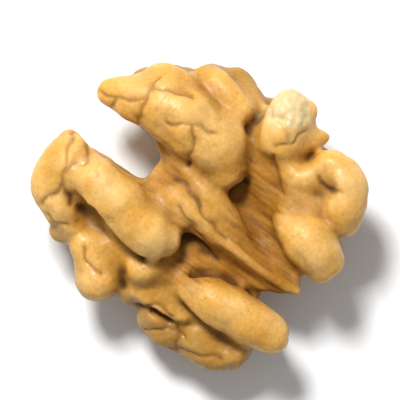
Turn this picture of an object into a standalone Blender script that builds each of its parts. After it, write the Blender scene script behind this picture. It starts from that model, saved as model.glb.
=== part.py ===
"""Half of a shelled walnut kernel, lying on its rounded back with the inner side up.

The kernel grew as one piece, so it is one closed solid: fat folds round the rim, a keel that
runs down the middle of the hollow inner side to a pointed tail, an open notch between the two
lobes at the other end, and a domed back of winding folds.

Every place and size in the tables below is in millimetres. +Y runs along the kernel to its
tail, +X to the lobe with the long finger, +Z up. The finished mesh is in metres, with its
origin on the resting plane under the middle of the kernel's box.
"""

import math

import bmesh
import bpy
from mathutils import Matrix, Vector, noise

MM = 0.001

# Driving dimensions
DOME_CENTRE = Vector((0.8, 0.0, 11.5))
DOME_HALF = Vector((16.6, 17.4, 11.5))   # half axes of the dome that the back's folds touch
DOME_POWER = 2.2        # 2 is an ellipsoid, more is a fuller dome
BACK_TOP = 6.2          # how high the folds of the back climb, under those of the rim
CORE_SHARE = 0.85       # size of the solid core, as a share of the dome
CORE_RIM = 9.0          # height of the core's rim
HOLLOW_FLOOR = 7.0      # lowest point of the hollow of the inner side
HOLLOW_HALF = Vector((13.4, 14.4, 8.4))  # half axes of the hollow
HOLLOW_MIDDLE = (2.0, 1.0)
ROOT_DROP = 3.2         # how far below a rim fold its root runs, to join it to the core
ROOT_SHARE = 0.92       # the root's radius, as a share of the fold's
LUMP_SIZE = 3.0         # length over which a fold swells and narrows
LUMP_DEPTH = 0.13       # how much it does so, as a share of its radius
WANDER = 0.35           # how far a fold of the rim strays from its line
BACK_WANDER = 2.2       # how far a fold of the back does
FLAT_CUT = 0.55         # how much of the lowest folds the resting plane flattens
VOXEL = 0.40            # face size of the skin that is drawn round all the shapes
CREASE_VOXEL = 0.25     # and of the one round the creases that are cut into it
SMOOTHING = 5           # rounds of smoothing after that
TRIANGLES = 12300       # faces that the finished skin is thinned to, before its flats are cut

# Folds of the inner side and rim, each a line of (x, y, height, radius)
RIM_FOLDS = {
    # the lobe on the -X side of the keel
    "great_fold": [(-3.6, -15.7, 9.6, 1.8), (-4.7, -13.0, 10.2, 2.8), (-6.0, -10.0, 10.8, 3.8),
                   (-5.8, -6.0, 11.0, 3.8), (-5.0, -2.0, 10.8, 3.3), (-3.8, 0.0, 10.3, 2.3)],
    "great_crest": [(-4.8, -14.8, 8.8, 1.7), (-6.3, -12.8, 9.4, 2.2), (-8.0, -11.0, 9.8, 2.5),
                    (-7.8, -8.0, 10.0, 2.3)],
    "heel": [(-8.3, -4.0, 10.1, 1.7), (-7.2, -1.6, 10.4, 1.9), (-4.3, 0.8, 9.9, 1.8)],
    "second_fold": [(-11.3, -8.0, 8.0, 1.7), (-11.0, -5.5, 9.0, 2.0), (-10.4, -2.7, 9.2, 1.9)],
    "third_fold": [(-13.2, -4.8, 6.0, 1.6), (-12.0, -2.5, 7.2, 1.8), (-10.7, -0.8, 7.4, 1.8)],
    "broken_tip": [(-13.9, 2.1, 10.0, 2.6), (-12.3, 2.6, 10.0, 3.0), (-10.3, 3.2, 9.8, 2.6)],
    "tip_side": [(-14.6, 3.6, 9.4, 1.8), (-12.6, 4.3, 9.8, 2.1)],
    "spur": [(-11.0, 4.4, 9.6, 2.1), (-12.5, 6.0, 9.3, 1.6), (-13.4, 6.9, 8.7, 1.0)],
    "hook": [(-8.6, 4.2, 9.0, 1.9), (-7.9, 7.0, 9.6, 1.9), (-9.2, 8.8, 10.3, 1.8),
             (-11.2, 10.0, 10.4, 2.2), (-10.3, 12.3, 10.3, 2.6), (-8.4, 13.6, 10.2, 2.6),
             (-7.2, 14.5, 9.8, 1.9)],
    "hook_floor": [(-5.4, 7.8, 9.0, 2.0), (-6.3, 10.0, 9.2, 2.0), (-6.3, 12.2, 8.9, 1.8)],
    "thumb": [(-3.4, 9.2, 9.6, 1.9), (-2.8, 11.5, 10.2, 2.8), (-2.4, 14.0, 10.2, 2.9),
              (-2.0, 15.0, 9.9, 2.7)],
    "ramp": [(-9.4, 1.4, 8.2, 1.9), (-7.4, 2.6, 7.9, 2.1), (-5.4, 4.9, 7.7, 2.1),
             (-3.9, 7.0, 7.7, 1.8)],
    # the lobe on the +X side
    "long_fold": [(4.2, -16.0, 9.4, 1.7), (5.1, -13.4, 10.2, 2.4), (5.8, -10.7, 11.0, 3.1),
                  (6.2, -7.8, 11.0, 2.9), (7.2, -5.0, 11.0, 3.0), (7.2, -2.5, 10.9, 2.8),
                  (6.8, -1.5, 10.5, 2.4)],
    "long_top": [(4.2, -15.4, 10.2, 1.9), (6.3, -14.6, 10.6, 2.1), (8.3, -14.3, 10.2, 2.0)],
    "outer_fold": [(3.8, -16.4, 8.8, 1.8), (6.6, -16.3, 9.2, 2.2), (9.0, -15.3, 9.4, 2.3),
                   (10.6, -13.1, 9.2, 2.1), (11.4, -11.0, 8.8, 1.5)],
    "knob": [(11.4, -10.4, 7.8, 1.6), (12.6, -11.2, 7.4, 1.6)],
    "shoulder": [(12.3, -7.8, 8.2, 2.1), (13.4, -6.0, 8.0, 2.7), (14.5, -4.8, 7.6, 2.8)],
    "shoulder_side": [(11.3, -6.0, 8.6, 1.7), (12.7, -4.7, 8.3, 1.8), (14.3, -3.7, 7.3, 1.9)],
    "small_fold": [(9.9, -4.0, 8.9, 1.6), (11.0, -1.8, 9.0, 1.7), (9.8, -0.4, 8.9, 1.6),
                   (8.0, 0.7, 8.2, 1.3)],
    "finger": [(9.6, 4.6, 8.6, 2.2), (9.1, 8.0, 9.2, 2.8), (8.6, 11.8, 9.5, 2.8),
               (8.4, 15.0, 9.4, 2.6)],
    "lower_shelf": [(13.8, -0.4, 6.9, 1.7), (12.2, 1.4, 7.1, 1.9), (12.2, 3.9, 6.9, 1.9),
                    (12.4, 6.4, 6.4, 1.5)],
    "lowest_shelf": [(15.4, 3.2, 5.6, 1.7), (15.2, 5.4, 5.8, 1.9), (14.4, 8.2, 5.8, 2.1),
                     (13.2, 11.4, 6.0, 1.9)],
    # what joins the two lobes
    "bridge": [(5.0, -5.3, 9.0, 2.4), (3.9, -3.6, 8.7, 2.7), (3.0, -1.7, 8.6, 2.4)],
    "isthmus": [(1.2, -4.8, 8.4, 1.9), (2.0, -2.3, 9.1, 2.6), (2.2, 0.9, 9.4, 2.4),
                (2.6, 4.2, 9.4, 1.6)],
    "web": [(-2.2, -5.3, 8.6, 1.7), (-1.2, -2.9, 9.2, 2.3), (0.0, 0.6, 9.4, 2.2),
            (0.7, 3.4, 9.2, 1.8), (1.6, 5.8, 8.9, 1.3)],
    "plate": [(6.6, 0.4, 6.4, 1.9), (5.8, 3.2, 6.0, 2.0), (5.4, 6.0, 5.8, 2.0)],
    "tail_root": [(2.2, 8.0, 6.4, 2.4), (2.2, 11.5, 6.6, 2.0), (2.4, 14.0, 7.4, 0.9)],
}
PLEAT = [(9.6, 1.8, 8.4, 1.2), (6.9, 3.6, 8.0, 0.9), (5.8, 5.6, 7.8, 0.8), (5.5, 8.0, 7.7, 0.8),
         (5.6, 10.2, 7.6, 0.8)]

# Creases sunk between folds that would otherwise grow together, as (x, y, height, radius)
CREASES = {
    "beside_long_fold": [(8.3, -12.4, 12.2, 0.3), (9.0, -11.0, 11.2, 0.9), (9.5, -9.5, 10.6, 1.5),
                         (10.0, -7.4, 10.8, 1.1), (10.0, -5.0, 11.0, 0.7), (10.2, -3.2, 10.7, 0.6),
                         (9.5, -0.9, 10.4, 0.5), (7.7, 0.9, 10.1, 0.3)],
    "beside_shoulder": [(10.3, -4.6, 10.5, 0.3), (12.0, -3.0, 9.9, 0.5), (14.0, -1.6, 8.4, 0.5)],
    "above_finger": [(10.2, 2.3, 9.6, 0.3), (8.0, 4.1, 8.9, 0.55), (6.3, 6.3, 8.6, 0.55),
                     (5.8, 9.3, 8.5, 0.5), (5.7, 11.8, 8.4, 0.6)],
    "below_finger": [(10.8, 2.4, 9.6, 0.3), (11.8, 5.8, 9.1, 0.6), (12.2, 9.5, 8.8, 0.7),
                     (12.3, 13.2, 8.6, 0.8)],
    "between_shelves": [(15.4, 0.2, 7.4, 0.3), (14.0, 3.0, 8.0, 0.5), (13.8, 5.4, 7.6, 0.5),
                        (12.6, 7.6, 8.2, 0.3)],
    "hook_bay": [(-10.2, 10.8, 13.3, 0.7), (-8.7, 10.7, 12.9, 1.4), (-6.9, 10.9, 12.5, 1.3),
                 (-5.7, 12.6, 12.6, 0.7), (-5.2, 15.0, 12.6, 0.6)],
}

# The keel is a tent over the hollow: (y, ridge x, ridge height, x and height of its foot on the
# -X side, x and height of its foot on the +X side)
KEEL = [
    (2.0, 2.2, 10.9, -2.8, 7.6, 5.6, 7.4),
    (4.2, 2.7, 11.0, -2.2, 7.3, 5.7, 7.2),
    (7.0, 2.9, 11.0, -0.9, 7.1, 5.9, 7.1),
    (10.0, 3.1, 10.7, 0.1, 7.0, 5.6, 7.0),
    (12.0, 3.1, 10.3, 0.0, 7.2, 4.7, 7.2),
    (13.5, 3.0, 9.9, 0.3, 7.6, 4.0, 7.6),
    (15.4, 2.7, 9.2, 2.2, 8.2, 3.2, 8.2),
]
KEEL_RIDGE = 0.30       # half width of the ridge itself
KEEL_WAIST = 0.45       # how far out the flank is at mid height, as a share of the foot's reach

# Folds of the back, each a radius and a line of (x, y) seen from above. They run out from the
# middle to the rim and turn back there, as the folds of the inner side do.
BACK_FOLDS = [
    (2.3, [(5.6, -5.0), (6.0, -8.5), (6.6, -11.4), (6.6, -13.4), (8.6, -13.4), (9.8, -11.2),
           (8.8, -8.2), (9.2, -5.2), (11.4, -3.6), (13.0, -6.2), (11.6, -9.4)]),
    (2.3, [(3.6, -1.8), (6.4, -1.6), (9.5, -1.0), (12.4, -2.0)]),
    (2.3, [(4.0, 1.4), (7.5, 2.6), (10.2, 1.8), (12.2, 1.6), (13.0, 4.2), (11.0, 6.0), (7.8, 6.2),
           (4.6, 5.2)]),
    (2.3, [(4.0, 9.3), (7.2, 10.6), (10.4, 9.6), (13.0, 9.2), (11.4, 12.6), (8.6, 14.4)]),
    (2.3, [(-3.8, -4.6), (-5.2, -8.4), (-4.9, -10.8), (-5.6, -12.6), (-7.5, -11.6), (-8.6, -9.2),
           (-7.2, -6.6), (-7.6, -4.2), (-10.0, -3.4), (-10.7, -6.0)]),
    (2.3, [(-0.3, -1.8), (-3.6, -1.4), (-7.0, 0.2), (-10.6, -0.6), (-13.2, 2.2), (-10.8, 3.9),
           (-7.4, 4.2), (-4.0, 2.6), (-0.4, 2.4)]),
    (2.3, [(-0.2, 6.4), (-3.4, 6.6), (-6.6, 8.2), (-10.2, 8.0), (-9.6, 11.4), (-6.6, 12.0),
           (-3.8, 10.6), (-0.6, 10.8)]),
    (2.0, [(-1.2, 13.4), (-3.2, 13.4)]),
]

# The notch between the lobes at the -Y end, from the open end inwards
NOTCH = [(0.2, -21.0, 3.4), (0.2, -15.5, 2.6), (0.3, -9.0, 2.5), (0.7, -6.8, 1.7)]
# The gap between the tail of the keel and the finger
TAIL_GAP = [(5.5, 11.4, 0.8), (5.4, 13.5, 1.2), (5.0, 16.5, 2.2), (4.5, 20.0, 3.5)]

CLEAR = 30.0            # half the size of a cutter that reaches past the whole kernel
STEPS = 6               # points laid on a smooth line between two of its own
END_ANGLES = (35, 65, 85)   # degrees round a tube's end at which its half ball has a ring
# Shifts that make three patterns of the one noise, for straying along X, Y and Z
APART = [Vector((17.3, 0.0, 5.1)), Vector((0.0, 31.7, 9.2)), Vector((8.6, 12.4, 43.9))]


def clear_scene():
    for thing in list(bpy.data.objects):
        bpy.data.objects.remove(thing, do_unlink=True)


def kernel_material():
    """Golden-brown skin with a soft sheen."""
    material = bpy.data.materials.new("kernel_skin")
    material.use_nodes = True
    shader = material.node_tree.nodes["Principled BSDF"]
    shader.inputs["Base Color"].default_value = (0.56, 0.32, 0.11, 1.0)
    shader.inputs["Roughness"].default_value = 0.45
    shader.inputs["Metallic"].default_value = 0.0
    return material


def smooth_line(points):
    """A Catmull-Rom line through the points, each with its radius as a fourth number."""
    own = [Vector(point) for point in points]
    own = [own[0] * 2 - own[1]] + own + [own[-1] * 2 - own[-2]]
    line = []
    for a, b, c, d in zip(own, own[1:], own[2:], own[3:]):
        for step in range(STEPS):
            t = step / STEPS
            line.append(0.5 * (2 * b + (c - a) * t + (2 * a - 5 * b + 4 * c - d) * t ** 2
                               + (3 * b - a - 3 * c + d) * t ** 3))
    return line + [own[-2]]


def lumpy(line, wander):
    """The line as it grew: swelling, narrowing and straying a little from its course."""
    grown = []
    for x, y, z, radius in line:
        spot = Vector((x, y, z)) / LUMP_SIZE
        swell = 1 + LUMP_DEPTH * noise.noise(spot)
        stray = [wander * noise.noise(spot + apart) for apart in APART]
        grown.append(Vector((x + stray[0], y + stray[1], z + stray[2] / 2, radius * swell)))
    return grown


def rounded_end(tip, inner):
    """Points past the tip of a line that close its tube in a half ball."""
    outwards = (tip.xyz - inner.xyz).normalized()
    cap = []
    for angle in END_ANGLES:
        spot = tip.xyz + outwards * tip.w * math.sin(math.radians(angle))
        cap.append(Vector((*spot, tip.w * math.cos(math.radians(angle)))))
    return cap


def tube(line):
    """A closed tube with round ends along a line, as a curve object."""
    points = rounded_end(line[0], line[1])[::-1] + line + rounded_end(line[-1], line[-2])
    curve = bpy.data.curves.new("fold", "CURVE")
    curve.dimensions = "3D"
    curve.bevel_depth = MM
    curve.bevel_resolution = 4
    curve.use_fill_caps = True
    spline = curve.splines.new("POLY")
    spline.points.add(len(points) - 1)
    for own, point in zip(spline.points, points):
        own.co = (*(point.xyz * MM), 1.0)
        own.radius = point.w
    return place(curve)


def place(data):
    thing = bpy.data.objects.new(data.name, data)
    bpy.context.collection.objects.link(thing)
    return thing


def dome_height(x, y, inset):
    """Height of a line that runs on the inside of the dome, this far in from its surface."""
    half = DOME_HALF - Vector((inset, inset, inset))
    out = math.hypot((x - DOME_CENTRE.x) / half.x, (y - DOME_CENTRE.y) / half.y)
    return DOME_CENTRE.z - half.z * max(0.0, 1.0 - out ** DOME_POWER) ** (1 / DOME_POWER)


def rim_tubes():
    """The folds of the inner side and rim, each with a root that carries it down to the core."""
    made = []
    for points in RIM_FOLDS.values():
        line = lumpy(smooth_line(points), WANDER)
        made += [tube(line), tube([sunk(point) for point in line])]
    made.append(tube(smooth_line(PLEAT)))
    return made


def sunk(point):
    """The point of a fold's root that lies below this point of the fold, inside the dome."""
    radius = point.w * ROOT_SHARE
    deep = max(point.z - ROOT_DROP, dome_height(point.x, point.y, radius))
    return Vector((point.x, point.y, min(deep, point.z), radius))


def on_back(point):
    """The point lifted onto the inside of the dome, but no higher than the back's folds climb."""
    height = min(dome_height(point.x, point.y, point.w), BACK_TOP)
    return Vector((point.x, point.y, height, point.w))


def back_tubes():
    """The winding folds of the back."""
    made = []
    for radius, points in BACK_FOLDS:
        flat = smooth_line([(x, y, 0.0, radius) for x, y in points])
        grown = lumpy(flat, BACK_WANDER)
        made.append(tube([on_back(point) for point in grown]))
    return made


def keel():
    """A lofted tent: a narrow ridge, hollow flanks and broad feet, tapering to the tail."""
    mesh = bpy.data.meshes.new("keel")
    loft = bmesh.new()
    rings = []
    for y, x, top, near, near_low, far, far_low in KEEL:
        section = [(near, near_low), (x + (near - x) * KEEL_WAIST, (top + near_low) / 2),
                   (x - KEEL_RIDGE, top), (x + KEEL_RIDGE, top),
                   (x + (far - x) * KEEL_WAIST, (top + far_low) / 2), (far, far_low)]
        rings.append([loft.verts.new(Vector((side, y, height)) * MM) for side, height in section])
    for ring, following in zip(rings, rings[1:]):
        for i in range(len(ring)):
            j = (i + 1) % len(ring)
            loft.faces.new((ring[i], ring[j], following[j], following[i]))
    loft.faces.new(rings[0][::-1])
    loft.faces.new(rings[-1])
    bmesh.ops.recalc_face_normals(loft, faces=loft.faces)
    loft.to_mesh(mesh)
    loft.free()
    return place(mesh)


def ellipsoid(name, centre, half):
    mesh = bpy.data.meshes.new(name)
    ball = bmesh.new()
    place_in = Matrix.Translation(centre * MM) @ Matrix.Diagonal((*(half * MM), 1.0))
    bmesh.ops.create_icosphere(ball, subdivisions=5, radius=1.0, matrix=place_in)
    ball.to_mesh(mesh)
    ball.free()
    return place(mesh)


def block(name, low, high):
    mesh = bpy.data.meshes.new(name)
    box = bmesh.new()
    size = high - low
    place_in = Matrix.Translation((low + high) / 2 * MM) @ Matrix.Diagonal((*(size * MM), 1.0))
    bmesh.ops.create_cube(box, size=1.0, matrix=place_in)
    box.to_mesh(mesh)
    box.free()
    return place(mesh)


def slot_cutter(name, course):
    """An upright cutter with a round end, as wide along its course as the gap it leaves."""
    mesh = bpy.data.meshes.new(name)
    wall = bmesh.new()
    outline = [(x - half, y) for x, y, half in course]
    outline += [(x + half, y) for x, y, half in reversed(course)]
    top = [wall.verts.new(Vector((x, y, CLEAR)) * MM) for x, y in outline]
    low = [wall.verts.new(Vector((x, y, -CLEAR)) * MM) for x, y in outline]
    wall.faces.new(top)
    wall.faces.new(low[::-1])
    for i in range(len(top)):
        j = (i + 1) % len(top)
        wall.faces.new((top[j], top[i], low[i], low[j]))
    bmesh.ops.recalc_face_normals(wall, faces=wall.faces)
    wall.to_mesh(mesh)
    wall.free()
    return place(mesh)


def cut(thing, cutter, name):
    cutter.hide_render = True
    cutter.display_type = "WIRE"
    modifier = thing.modifiers.new(name, "BOOLEAN")
    modifier.operation = "DIFFERENCE"
    modifier.solver = "EXACT"
    modifier.object = cutter


def core():
    """The flesh under the folds: a bowl with the notch and the gap at the tail cut through it."""
    bowl = ellipsoid("core", DOME_CENTRE, DOME_HALF * CORE_SHARE)
    lid = block("core_lid", Vector((-CLEAR, -CLEAR, CORE_RIM)), Vector((CLEAR, CLEAR, CLEAR)))
    hollow = ellipsoid("hollow", Vector((*HOLLOW_MIDDLE, HOLLOW_FLOOR + HOLLOW_HALF.z)), HOLLOW_HALF)
    cut(bowl, lid, "rim")
    cut(bowl, hollow, "hollow")
    cut(bowl, slot_cutter("notch", NOTCH), "notch")
    cut(bowl, slot_cutter("tail_gap", TAIL_GAP), "tail_gap")
    return bowl


def finished_mesh(thing):
    """The object's mesh with its modifiers in it."""
    graph = bpy.context.evaluated_depsgraph_get()
    return bpy.data.meshes.new_from_object(thing.evaluated_get(graph))


def gathered(things, name):
    """All the shapes in one mesh, still overlapping."""
    joined = bmesh.new()
    for thing in things:
        joined.from_mesh(finished_mesh(thing))
    mesh = bpy.data.meshes.new(name)
    joined.to_mesh(mesh)
    joined.free()
    for thing in list(bpy.data.objects):
        bpy.data.objects.remove(thing, do_unlink=True)
    return place(mesh)


def skinned(thing, cell):
    """One closed skin of even faces round everything the object holds."""
    remesh = thing.modifiers.new("skin", "REMESH")
    remesh.mode = "VOXEL"
    remesh.voxel_size = cell * MM
    remesh.adaptivity = 0.0


def crease_cutter():
    """All the creases as one cutter, each with a mouth above it so that no lid is left."""
    joined = bmesh.new()
    for points in CREASES.values():
        line = smooth_line(points)
        above = [point + Vector((0, 0, point.w, 0)) for point in line]
        for course in (line, above):
            thing = tube(course)
            joined.from_mesh(finished_mesh(thing))
            bpy.data.objects.remove(thing, do_unlink=True)
    mesh = bpy.data.meshes.new("creases")
    joined.to_mesh(mesh)
    joined.free()
    cutter = place(mesh)
    skinned(cutter, CREASE_VOXEL)
    return cutter


def grown_together(thing):
    """One skin round all the shapes, creased where CREASES say and then slightly softened."""
    skinned(thing, VOXEL)
    cut(thing, crease_cutter(), "creases")
    skinned(thing, VOXEL)
    smooth = thing.modifiers.new("soften", "SMOOTH")
    smooth.factor = 0.5
    smooth.iterations = SMOOTHING


def without_cavities(mesh):
    """Only the outer skin, the largest shell: any sealed hollow between the folds is filled with
    flesh, and any crumb that a cut set free is dropped."""
    skin = bmesh.new()
    skin.from_mesh(mesh)
    seen = set()
    shells = []
    for start in skin.verts:
        if start in seen:
            continue
        shell = [start]
        seen.add(start)
        for vert in shell:
            for edge in vert.link_edges:
                other = edge.other_vert(vert)
                if other not in seen:
                    seen.add(other)
                    shell.append(other)
        shells.append(shell)
    outer = max(shells, key=len)
    inner = [vert for shell in shells if shell is not outer for vert in shell]
    bmesh.ops.delete(skin, geom=inner, context="VERTS")
    skin.to_mesh(mesh)
    skin.free()
    return mesh


def stand_at_origin(mesh):
    """The middle of the box goes to X and Y zero, and the resting plane to Z zero."""
    xs = [vert.co.x for vert in mesh.vertices]
    ys = [vert.co.y for vert in mesh.vertices]
    lowest = min(vert.co.z for vert in mesh.vertices)
    middle = Vector(((min(xs) + max(xs)) / 2, (min(ys) + max(ys)) / 2, lowest + FLAT_CUT * MM))
    mesh.transform(Matrix.Translation(-middle))


def kernel():
    """The whole kernel half: all shapes grown together, thinned, and flattened where it rests."""
    shapes = [core(), keel()] + rim_tubes() + back_tubes()
    raw = gathered(shapes, "raw")
    grown_together(raw)
    mesh = without_cavities(finished_mesh(raw))
    stand_at_origin(mesh)
    clear_scene()
    mesh.name = "walnut_kernel"
    whole = place(mesh)
    whole.data.materials.clear()
    whole.data.materials.append(kernel_material())
    thin = whole.modifiers.new("fewer_faces", "DECIMATE")
    thin.ratio = TRIANGLES / sum(len(face.vertices) - 2 for face in mesh.polygons)
    thin.use_collapse_triangulate = True
    under = block("resting_plane", Vector((-CLEAR, -CLEAR, -CLEAR)), Vector((CLEAR, CLEAR, 0)))
    cut(whole, under, "rest_flat")
    whole.data.shade_smooth()
    return whole


clear_scene()
kernel()
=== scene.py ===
import bpy
import numpy as np
from mathutils import Matrix, Vector, noise


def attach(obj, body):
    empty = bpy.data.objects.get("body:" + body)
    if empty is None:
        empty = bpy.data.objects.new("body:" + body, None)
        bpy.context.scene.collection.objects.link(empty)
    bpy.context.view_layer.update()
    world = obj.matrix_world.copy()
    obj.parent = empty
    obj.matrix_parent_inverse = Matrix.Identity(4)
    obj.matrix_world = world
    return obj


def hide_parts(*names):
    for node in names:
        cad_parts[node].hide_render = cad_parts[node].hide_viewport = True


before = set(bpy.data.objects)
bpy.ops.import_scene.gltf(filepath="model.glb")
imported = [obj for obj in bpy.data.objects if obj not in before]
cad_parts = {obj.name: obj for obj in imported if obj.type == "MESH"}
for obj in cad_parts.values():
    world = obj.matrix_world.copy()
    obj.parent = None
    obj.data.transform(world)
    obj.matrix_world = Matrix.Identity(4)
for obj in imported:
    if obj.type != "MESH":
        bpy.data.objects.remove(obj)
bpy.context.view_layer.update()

MM = 0.001


# ---------------------------------------------------------------------------------------------
# The kernel half
# A half kernel of folded flesh on its rounded back, under a thin skin: pale gold on the folds,
# brown in the creases (partly painted shade) and the hollow, and broken at one tip. The fixed model's
# shape is remeshed finely, its creases are deepened, and furrows, wrinkles and chips are carved into
# it.

SKIN_CELL = 0.21 * MM       # size of the faces of the finished skin


def only(piece):
    """Select this piece and nothing else."""
    bpy.ops.object.select_all(action="DESELECT")
    piece.select_set(True)
    bpy.context.view_layer.objects.active = piece


def apply_modifier(piece, name, kind, **settings):
    """Add a modifier with these settings and bake it into the mesh."""
    modifier = piece.modifiers.new(name, kind)
    for setting, value in settings.items():
        setattr(modifier, setting, value)
    only(piece)
    bpy.ops.object.modifier_apply(modifier=modifier.name)


def take_shape():
    """The fixed model's kernel, merged into one skin and given fine, even faces."""
    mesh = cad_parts["walnut_kernel"].data.copy()
    piece = bpy.data.objects.new("kernel_half", mesh)
    bpy.context.scene.collection.objects.link(piece)
    mesh.materials.clear()
    only(piece)
    bpy.ops.object.mode_set(mode="EDIT")
    bpy.ops.mesh.select_all(action="SELECT")
    bpy.ops.mesh.remove_doubles(threshold=0.005 * MM)
    bpy.ops.mesh.normals_make_consistent(inside=False)
    bpy.ops.object.mode_set(mode="OBJECT")
    apply_modifier(piece, "round", "SUBSURF", levels=1, render_levels=1)
    apply_modifier(piece, "skin", "REMESH", mode="VOXEL", voxel_size=SKIN_CELL, use_smooth_shade=True)
    apply_modifier(piece, "soften", "SMOOTH", factor=0.5, iterations=8)
    return piece


def places(mesh):
    """Every vertex's place, in millimetres."""
    co = np.empty(len(mesh.vertices) * 3, np.float32)
    mesh.vertices.foreach_get("co", co)
    return co.reshape(-1, 3).astype(float) / MM


def set_places(mesh, co):
    """Move every vertex to its place in this list, which is in millimetres."""
    mesh.vertices.foreach_set("co", (co * MM).astype(np.float32).ravel())
    mesh.update()


def normals(mesh):
    """The direction that the skin faces at every vertex."""
    n = np.empty(len(mesh.vertices) * 3, np.float32)
    mesh.vertices.foreach_get("normal", n)
    return n.reshape(-1, 3).astype(float)


def edge_ends(mesh):
    """The two vertices of every edge."""
    ends = np.empty(len(mesh.edges) * 2, np.int32)
    mesh.edges.foreach_get("vertices", ends)
    return ends.reshape(-1, 2)


PULL = 0.6                  # share of its neighbours that a vertex takes on in one round


def blurred(values, ends, rounds):
    """Each value averaged with its neighbours' along the mesh, several times over."""
    count = np.bincount(ends.ravel(), minlength=len(values)).astype(float)
    wide = values.reshape(len(values), -1)
    for _ in range(rounds):
        total = np.empty_like(wide)
        for k in range(wide.shape[1]):
            total[:, k] = np.bincount(ends[:, 0], wide[ends[:, 1], k], len(wide))
            total[:, k] += np.bincount(ends[:, 1], wide[ends[:, 0], k], len(wide))
        wide = (1 - PULL) * wide + PULL * total / count[:, None]
    return wide.reshape(values.shape)


def ramp(values, low, high):
    """0 below low, 1 above high, and a smooth rise between them."""
    t = np.clip((values - low) / (high - low), 0.0, 1.0)
    return t * t * (3 - 2 * t)


# Shifts that make three patterns of the one noise, for bending along X, Y and Z
APART = [Vector((17.3, 0.0, 5.1)), Vector((0.0, 31.7, 9.2)), Vector((8.6, 12.4, 43.9))]


def noise_at(co, size, seed):
    """Soft noise from -1 to 1 with features of this size, at every place."""
    spot = Vector((seed, seed * 0.7, seed * 1.3))
    return np.array([noise.noise(Vector(p) / size + spot) for p in co])


def cracks_at(co, size, bend, seed):
    """0 on the borders of irregular cells of this size, rising to 1 inside them."""
    spot = Vector((seed, seed * 1.7, seed * 0.6))
    found = np.empty(len(co))
    for i, p in enumerate(co):
        at = Vector(p) / size + spot
        at += Vector([bend / size * noise.noise(at + apart) for apart in APART])
        near = noise.voronoi(at)[0]
        found[i] = near[1] - near[0]
    return found


SWELL = 0.40                # how far the folds swell, as a share of how far they stand out
SHARPEN = 0.80              # the same again for the narrow creases
SWELL_ROUNDS = 50
SHARPEN_ROUNDS = 9


def deepen_creases(mesh):
    """Folds swell and the creases between them sink, first broadly and then at the crease itself."""
    ends = edge_ends(mesh)
    co = places(mesh)
    co += SWELL * (co - blurred(co, ends, SWELL_ROUNDS))
    co += SHARPEN * (co - blurred(co, ends, SHARPEN_ROUNDS))
    set_places(mesh, blurred(co, ends, 2))


# Shallow furrows across the tops of the folds, as (x, y) lines in millimetres
FURROWS = [
    [(-8.9, -11.9), (-7.3, -11.7), (-5.3, -11.8), (-4.0, -11.5), (-2.7, -10.5)],
    [(-6.9, -11.8), (-8.3, -10.0), (-9.2, -7.9)],
    [(-3.2, -16.4), (-3.7, -14.6), (-4.2, -13.4), (-5.6, -12.1)],
    [(-3.7, -14.6), (-2.4, -14.4)],
    [(-4.8, -8.2), (-6.6, -5.4), (-7.4, -2.6)],
    [(-6.6, -5.4), (-4.4, -4.0), (-2.6, -3.6)],
    [(2.1, -16.4), (3.6, -15.8), (5.1, -15.0), (6.8, -14.1), (8.0, -13.3), (8.6, -11.7)],
    [(2.3, -14.0), (3.4, -13.3), (5.0, -13.9), (6.6, -14.0)],
    [(7.9, -13.5), (9.1, -14.0), (10.7, -14.6)],
    [(11.9, -13.2), (12.0, -11.9), (11.1, -10.4)],
    [(-0.6, -3.6), (0.2, -0.6), (1.2, 2.2), (1.9, 5.0)],
    [(2.2, -1.2), (3.6, 2.0), (4.4, 5.2)],
    [(-12.0, 0.6), (-12.6, 2.6), (-11.4, 4.6)],
    [(-10.2, 9.2), (-9.4, 10.8), (-9.8, 12.6)],
    [(12.4, -7.4), (13.6, -5.6), (13.4, -4.0)],
    [(-13.5, 5.8), (-11.6, 5.0), (-9.9, 3.6)],
    [(-8.6, 4.0), (-7.8, 5.4), (-6.4, 6.3), (-5.6, 7.4)],
    [(14.5, 1.0), (13.1, 2.7), (12.5, 4.8)],
    [(16.0, 3.7), (14.0, 5.5), (13.7, 7.8)],
    [(13.3, 6.4), (15.4, 7.6)],
    [(16.1, 7.0), (14.7, 9.6), (13.4, 12.3)],
]
FURROW_HALF = 0.24          # half width of a furrow's dark line
TROUGH_HALF = 0.95          # and of the dip on both sides of it
FURROW_DEPTH = 0.16
TROUGH_DEPTH = 0.18
WAVER = 0.7                 # how far a furrow strays from its line
WAVER_SIZE = 1.7            # and the length over which it does
CRACK_CELL = 6.0            # size of the fields that finer cracks split the back into
CRACK_BEND = 3.0            # how far those cracks stray
CRACKED_TOP = 0.08          # how strong they are on the inner side
CRACKED_BACK = 0.60         # and how much stronger on the back


def near_line(flat, line):
    """How far each (x, y) is from a line through points."""
    best = np.full(len(flat), 1e9)
    for a, b in zip(np.array(line[:-1]), np.array(line[1:])):
        along = b - a
        t = np.clip(((flat - a) @ along) / (along @ along), 0.0, 1.0)
        best = np.minimum(best, np.hypot(*(flat - a - t[:, None] * along).T))
    return best


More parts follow.
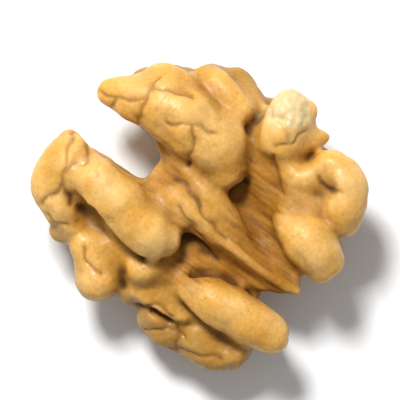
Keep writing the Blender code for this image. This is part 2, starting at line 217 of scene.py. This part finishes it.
def furrows(mesh):
    """Carve the furrows, and return where they are, from 0 to 1."""
    co = places(mesh)
    n = normals(mesh)
    stray = [noise_at(co, WAVER_SIZE, seed) for seed in (3.0, 7.0)]
    wavy = co[:, :2] + WAVER * np.stack(stray, axis=1)
    on_top = ramp(n[:, 2], 0.0, 0.5) * ramp(co[:, 2], 3.5, 5.5)
    away = np.full(len(co), 1e9)
    for line in FURROWS:
        away = np.minimum(away, near_line(wavy, line))
    mark = np.exp(-(away / FURROW_HALF) ** 2) * on_top
    trough = np.exp(-(away / TROUGH_HALF) ** 2) * on_top
    border = cracks_at(co, CRACK_CELL, CRACK_BEND, 11.0)
    lower = CRACKED_TOP + CRACKED_BACK * ramp(-n[:, 2], -0.4, 0.3)
    mark = np.maximum(mark, (1 - ramp(border, 0.01, 0.09)) * lower)
    trough = np.maximum(trough, (1 - ramp(border, 0.0, 0.30)) * lower)
    depth = FURROW_DEPTH * mark + TROUGH_DEPTH * trough
    set_places(mesh, co - n * depth[:, None])
    return mark


# Lumps on the folds: how high, how far apart, and a seed
LUMPS = [(0.24, 3.4, 21.0), (0.09, 1.5, 31.0), (0.015, 0.75, 41.0)]
PLEAT_SIZE = 0.60
PLEAT_STRETCH = np.array([1.0, 0.15, 0.4])
PLEAT_DEPTH = 0.13


def wrinkle(mesh, hollow):
    """Low lumps everywhere, and fine pleats along the hollow that run to the tail of the keel."""
    co = places(mesh)
    n = normals(mesh)
    lumps = sum(high * noise_at(co, size, seed) for high, size, seed in LUMPS)
    pleats = noise_at(co * PLEAT_STRETCH, PLEAT_SIZE, 51.0)
    height = lumps * (1 - 0.5 * hollow) + PLEAT_DEPTH * pleats * hollow
    set_places(mesh, co + n * height[:, None])


# The fold whose end is broken, and how far the break reaches from there along X, Y and Z
BROKEN_TIP = np.array([-14.8, 2.0, 11.6])
BREAK_REACH = np.array([3.4, 3.2, 3.6])
CHIP = 1.2                  # size of a chip
CHIP_DEPTH = 0.45
CHIP_LIFT = 0.15            # how far the flesh between the chips stands out


def break_tip(mesh):
    """Chip the end of the fold where the skin is gone. Returns where that is, from 0 to 1, and
    where the skin round it has dried pale."""
    co = places(mesh)
    n = normals(mesh)
    away = np.linalg.norm((co - BROKEN_TIP) / BREAK_REACH, axis=1)
    away += 0.30 * noise_at(co, 1.5, 61.0) + 0.12 * noise_at(co, 0.5, 63.0)
    mark = 1 - ramp(away, 0.75, 0.95)
    halo = 1 - ramp(away, 0.9, 1.7)
    chips = np.array([noise.voronoi(Vector(p) / CHIP)[0][0] for p in co])
    height = (CHIP_LIFT - CHIP_DEPTH * chips) * mark
    set_places(mesh, co + n * height[:, None])
    return mark, halo


# Painted highlights, where the crowns of the folds are made paler: x, y and how far that reaches, in
# millimetres
HIGHLIGHT_SPOTS = [(6.7, -1.5, 3.2), (5.2, -9.0, 3.4), (-11.4, 13.4, 3.4), (5.4, -12.9, 2.6), (-7.6, -6.0, 2.4)]


def painted_highlights(mesh):
    """1 where a painted highlight makes the upward-facing crowns paler, and 0 elsewhere."""
    co = places(mesh)
    highlight = np.zeros(len(co))
    for x, y, reach in HIGHLIGHT_SPOTS:
        away = np.hypot(co[:, 0] - x, co[:, 1] - y) / reach
        highlight = np.maximum(highlight, 1 - ramp(away + 0.35 * noise_at(co, 1.6, x), 0.2, 1.0))
    return highlight * ramp(normals(mesh)[:, 2], 0.3, 0.8)


def keep_rest_flat(mesh):
    """The kernel still lies on its flats: nothing goes below the resting plane."""
    co = places(mesh)
    co[:, 2] = np.maximum(co[:, 2], 0.0)
    set_places(mesh, co)


def remember(mesh, name, values):
    """Keep a value from 0 to 1 at each vertex, for the material."""
    layer = mesh.attributes.new(name, "FLOAT", "POINT")
    layer.data.foreach_set("value", np.clip(values, 0.0, 1.0).astype(np.float32))


def depth_below(mesh, rounds):
    """How far each place lies below the skin's broad shape, in millimetres: more in a crease."""
    ends = edge_ends(mesh)
    co = places(mesh)
    sunk = np.einsum("ij,ij->i", blurred(co, ends, rounds) - co, normals(mesh))
    return blurred(sunk, ends, 3)


HOLLOW_MIDDLE = np.array([0.5, 4.5])
HOLLOW_REACH = np.array([9.5, 11.0])


def hollowness(mesh):
    """1 in the hollow of the inner side and 0 on the folds round it."""
    co = places(mesh)
    n = normals(mesh)
    inside = ramp(n[:, 2], -0.2, 0.3) * (1 - ramp(co[:, 2], 9.4, 11.4))
    from_middle = np.hypot(*((co[:, :2] - HOLLOW_MIDDLE) / HOLLOW_REACH).T)
    return inside * (1 - ramp(from_middle, 0.75, 1.15))


def creasing(mesh):
    """1 at the bottom of a crease, where the skin is browner and where shade is painted in."""
    fine = ramp(depth_below(mesh, 8), 0.02, 0.12)
    broad = ramp(depth_below(mesh, 60), 0.05, 0.62)
    return np.clip(0.65 * fine + 0.9 * broad, 0.0, 1.0)


def shade_below_rim(mesh):
    """Painted shade: 0 along the rim and rising to 1 on what lies lower down."""
    return 1 - ramp(places(mesh)[:, 2], 6.5, 9.6)


def side_shade(mesh):
    """Painted shade: 0 on the crowns of the folds, rising to 1 down their sides."""
    return ramp(depth_below(mesh, 160), -0.8, 0.7)


kernel = take_shape()
skin = kernel.data
deepen_creases(skin)
in_hollow = hollowness(skin)
in_furrow = furrows(skin)
wrinkle(skin, in_hollow)
on_break, round_break = break_tip(skin)
keep_rest_flat(skin)
remember(skin, "hollow", in_hollow)
remember(skin, "furrow", in_furrow)
remember(skin, "crease", creasing(skin))
remember(skin, "low", side_shade(skin))
remember(skin, "under", shade_below_rim(skin))
remember(skin, "broken", on_break)
# pale: the skin dried pale round the break, and painted highlights on the crowns of the folds
remember(skin, "pale", np.maximum(round_break, 0.8 * painted_highlights(skin)))


def node(tree, kind, place, **settings):
    """Add a shader node with these settings, at this place in the editor."""
    made = tree.nodes.new(kind)
    made.location = place
    for setting, value in settings.items():
        setattr(made, setting, value)
    return made


def attribute(tree, name, place):
    """A value that the skin's vertices carry."""
    return node(tree, "ShaderNodeAttribute", place, attribute_name=name).outputs["Fac"]


def mixed(tree, amount, low, high, place, blend="MIX"):
    """A colour mix: low where amount is 0 and high where it is 1. Each may be a colour or a socket."""
    made = node(tree, "ShaderNodeMix", place, data_type="RGBA", blend_type=blend)
    for socket, value in ((0, amount), (6, low), (7, high)):
        if isinstance(value, bpy.types.NodeSocket):
            tree.links.new(value, made.inputs[socket])
        else:
            made.inputs[socket].default_value = value
    return made.outputs[2]


def mapped(tree, value, low, high, place, to_low=0.0, to_high=1.0):
    """A value moved smoothly from one range to another."""
    made = node(tree, "ShaderNodeMapRange", place, interpolation_type="SMOOTHSTEP")
    tree.links.new(value, made.inputs["Value"])
    made.inputs["From Min"].default_value = low
    made.inputs["From Max"].default_value = high
    made.inputs["To Min"].default_value = to_low
    made.inputs["To Max"].default_value = to_high
    return made.outputs["Result"]


def joined(tree, operation, a, b, place):
    """Two values put together. Each may be a number or a socket."""
    made = node(tree, "ShaderNodeMath", place, operation=operation)
    for socket, value in ((0, a), (1, b)):
        if isinstance(value, bpy.types.NodeSocket):
            tree.links.new(value, made.inputs[socket])
        else:
            made.inputs[socket].default_value = value
    return made.outputs[0]


def times(tree, a, b, place):
    return joined(tree, "MULTIPLY", a, b, place)


def plus(tree, a, b, place):
    return joined(tree, "ADD", a, b, place)


def painted(tree, colour, paint, value, strength, place):
    """A paint laid over the colour, at this strength where the value is 1."""
    amount = times(tree, value, strength, (place[0] - 200, place[1] - 200))
    return mixed(tree, amount, colour, paint, place)


def pattern(tree, coordinates, size, place, detail=3.0, roughness=0.55, stretch=None):
    """Noise with features of this size, in millimetres."""
    if stretch:
        turned = node(tree, "ShaderNodeMapping", (place[0] - 200, place[1]))
        turned.inputs["Scale"].default_value = stretch
        tree.links.new(coordinates, turned.inputs["Vector"])
        coordinates = turned.outputs["Vector"]
    made = node(tree, "ShaderNodeTexNoise", place)
    tree.links.new(coordinates, made.inputs["Vector"])
    made.inputs["Scale"].default_value = 1 / (size * MM)
    made.inputs["Detail"].default_value = detail
    made.inputs["Roughness"].default_value = roughness
    return made.outputs["Fac"]


# The skin's colours, from the crowns of the folds down to the creases, with painted shade among them,
# and those of the broken tip
GOLD = (0.73, 0.38, 0.070, 1)
PALE_GOLD = (0.80, 0.49, 0.155, 1)
TAN = (0.52, 0.24, 0.035, 1)
SIDE_SHADE_AMBER = (0.36, 0.148, 0.007, 1)
BELOW_RIM_SHADE = (0.26, 0.130, 0.018, 1)
HOLLOW_BROWN = (0.36, 0.145, 0.009, 1)
CREASE_BROWN = (0.070, 0.022, 0.001, 1)
VEIN_BROWN = (0.20, 0.075, 0.010, 1)
STRAW = (0.74, 0.49, 0.18, 1)
CREAM = (0.66, 0.50, 0.25, 1)

SPECK_SPACING = 0.9


def skin_material():
    """Waxy golden skin: blotchy gold on the folds, with painted shade below the rim, down the sides of
    the folds and in the creases, painted highlights on some crowns, and veins, specks and a soft shine.
    """
    material = bpy.data.materials.new("kernel_skin")
    material.use_nodes = True
    tree = material.node_tree
    shader = tree.nodes["Principled BSDF"]
    shader.location = (1800, 0)
    where = node(tree, "ShaderNodeTexCoord", (-1400, 0)).outputs["Object"]

    blotches = mapped(tree, pattern(tree, where, 4.5, (-1000, 600)), 0.35, 0.65, (-800, 600))
    colour = mixed(tree, blotches, GOLD, PALE_GOLD, (-600, 600))
    patches = mapped(tree, pattern(tree, where, 2.2, (-1000, 400), detail=5.0), 0.50, 0.72, (-800, 400))
    colour = painted(tree, colour, TAN, patches, 0.40, (-400, 600))

    low = attribute(tree, "low", (-1000, 1000))
    # Painted shade: amber laid down the sides of the folds, away from their crowns
    colour = painted(tree, colour, SIDE_SHADE_AMBER, low, 0.75, (-300, 600))

    under = attribute(tree, "under", (-1000, 1200))
    # Painted shade: the parts below the rim darkened to olive tan
    colour = painted(tree, colour, BELOW_RIM_SHADE, under, 0.70, (-250, 800))

    hollow = attribute(tree, "hollow", (-1000, 200))
    colour = painted(tree, colour, HOLLOW_BROWN, hollow, 0.85, (-200, 600))

    streak = pattern(tree, where, 0.7, (-1000, 0), detail=3.0, stretch=(1.0, 0.12, 0.4))
    streaks = times(tree, mapped(tree, streak, 0.48, 0.70, (-800, 0)), hollow, (-600, 0))
    colour = painted(tree, colour, CREASE_BROWN, streaks, 0.50, (0, 600))

    furrow = attribute(tree, "furrow", (-1000, -200))
    colour = painted(tree, colour, VEIN_BROWN, furrow, 0.60, (200, 600))
    crease = attribute(tree, "crease", (-1000, -400))
    # The creases darkened: partly the skin's own darker brown, partly painted shade
    colour = painted(tree, colour, CREASE_BROWN, crease, 0.92, (400, 600))

    speck = node(tree, "ShaderNodeTexVoronoi", (-1000, -600))
    tree.links.new(where, speck.inputs["Vector"])
    speck.inputs["Scale"].default_value = 1 / (SPECK_SPACING * MM)
    specks = mapped(tree, speck.outputs["Distance"], 0.10, 0.22, (-800, -600), 1.0, 0.0)
    some = mapped(tree, pattern(tree, where, 1.8, (-1000, -800)), 0.5, 0.62, (-800, -800))
    specks = times(tree, specks, some, (-600, -600))
    colour = painted(tree, colour, VEIN_BROWN, specks, 0.40, (600, 600))

    grain = pattern(tree, where, 0.45, (-1000, -1000), detail=4.0)
    shade = mapped(tree, grain, 0.3, 0.7, (-800, -1000), 0.89, 1.06)
    colour = mixed(tree, 1.0, colour, shade, (800, 600), blend="MULTIPLY")

    pale = attribute(tree, "pale", (-1000, -1400))
    # Straw over the pale places: dried skin round the break, and painted highlights on the crowns
    colour = painted(tree, colour, STRAW, pale, 0.60, (900, 600))
    broken = attribute(tree, "broken", (-1000, -1200))
    colour = mixed(tree, broken, colour, CREAM, (1000, 600))
    tree.links.new(colour, shader.inputs["Base Color"])

    gloss = pattern(tree, where, 1.2, (400, -200), detail=4.0)
    rough = mapped(tree, gloss, 0.3, 0.7, (600, -200), 0.26, 0.56)
    rough = plus(tree, times(tree, hollow, 0.26, (600, -350)), rough, (800, -200))
    rough = plus(tree, times(tree, crease, 0.30, (800, -350)), rough, (1000, -200))
    tree.links.new(rough, shader.inputs["Roughness"])

    fine = pattern(tree, where, 0.50, (400, -500), detail=4.0, roughness=0.5)
    bump = node(tree, "ShaderNodeBump", (1000, -500))
    bump.inputs["Strength"].default_value = 0.45
    bump.inputs["Distance"].default_value = 0.12 * MM
    tree.links.new(fine, bump.inputs["Height"])
    tree.links.new(bump.outputs["Normal"], shader.inputs["Normal"])

    shader.inputs["Metallic"].default_value = 0.0
    shader.inputs["IOR"].default_value = 1.45
    shader.inputs["Specular IOR Level"].default_value = 0.40
    shader.inputs["Subsurface Weight"].default_value = 0.20
    shader.inputs["Subsurface Radius"].default_value = (0.0012, 0.0006, 0.0003)
    shader.inputs["Subsurface Scale"].default_value = 1.0
    return material


skin.materials.append(skin_material())
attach(kernel, "root")
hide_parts("walnut_kernel")


# ---------------------------------------------------------------------------------------------
# The stage
# A plain pale floor, a broad soft light from above and beyond, and the camera straight overhead,
# turned so that the notch points up and to the left.

FLOOR_HALF = 0.6


def lay_floor():
    """A plain pale floor on the plane that the kernel rests on."""
    bpy.ops.object.select_all(action="DESELECT")
    bpy.ops.mesh.primitive_plane_add(size=2 * FLOOR_HALF, location=(0, 0, 0))
    floor = bpy.context.object
    floor.name = "floor"
    material = bpy.data.materials.new("floor_white")
    material.use_nodes = True
    shader = material.node_tree.nodes["Principled BSDF"]
    shader.inputs["Base Color"].default_value = (0.92, 0.92, 0.92, 1)
    shader.inputs["Roughness"].default_value = 0.7
    floor.data.materials.append(material)


def soft_light(name, size, power, place, target):
    """A square area light that faces its target."""
    light = bpy.data.lights.new(name, "AREA")
    light.size = size
    light.energy = power
    thing = bpy.data.objects.new(name, light)
    bpy.context.scene.collection.objects.link(thing)
    thing.location = place
    thing.rotation_euler = (target - place).to_track_quat("-Z", "Y").to_euler()


# What the camera sees as right, as up and as towards it
RIGHT = Vector((-0.58, 0.815, 0.0)).normalized()
UP = Vector((-0.815, -0.58, 0.0)).normalized()
TOWARDS = Vector((0.0, 0.0, 1.0))
TARGET = Vector((0.0, 0.0, 0.007))


def look_down(distance, shown):
    """A camera overhead that shows this width at the kernel."""
    camera = bpy.data.cameras.new("camera")
    thing = bpy.data.objects.new("camera", camera)
    bpy.context.scene.collection.objects.link(thing)
    turn = Matrix((RIGHT, UP, TOWARDS)).transposed().to_4x4()
    thing.matrix_world = Matrix.Translation(TARGET + TOWARDS * distance) @ turn
    camera.sensor_width = 36.0
    camera.lens = 36.0 * distance / shown
    camera.clip_start = 0.01
    camera.clip_end = 10.0
    bpy.context.scene.camera = thing


def studio():
    """Even white light from all round, and one softbox."""
    world = bpy.data.worlds.new("studio")
    bpy.context.scene.world = world
    world.use_nodes = True
    background = world.node_tree.nodes["Background"]
    background.inputs["Color"].default_value = (1.0, 1.0, 1.0, 1)
    background.inputs["Strength"].default_value = 0.34
    key = TARGET + (TOWARDS * 0.85 - RIGHT * 0.25 + UP * 0.60).normalized() * 0.5
    soft_light("key", 0.13, 3.4, key, TARGET)


lay_floor()
studio()
look_down(0.5, 0.046)
bpy.context.scene.view_settings.view_transform = "Standard"
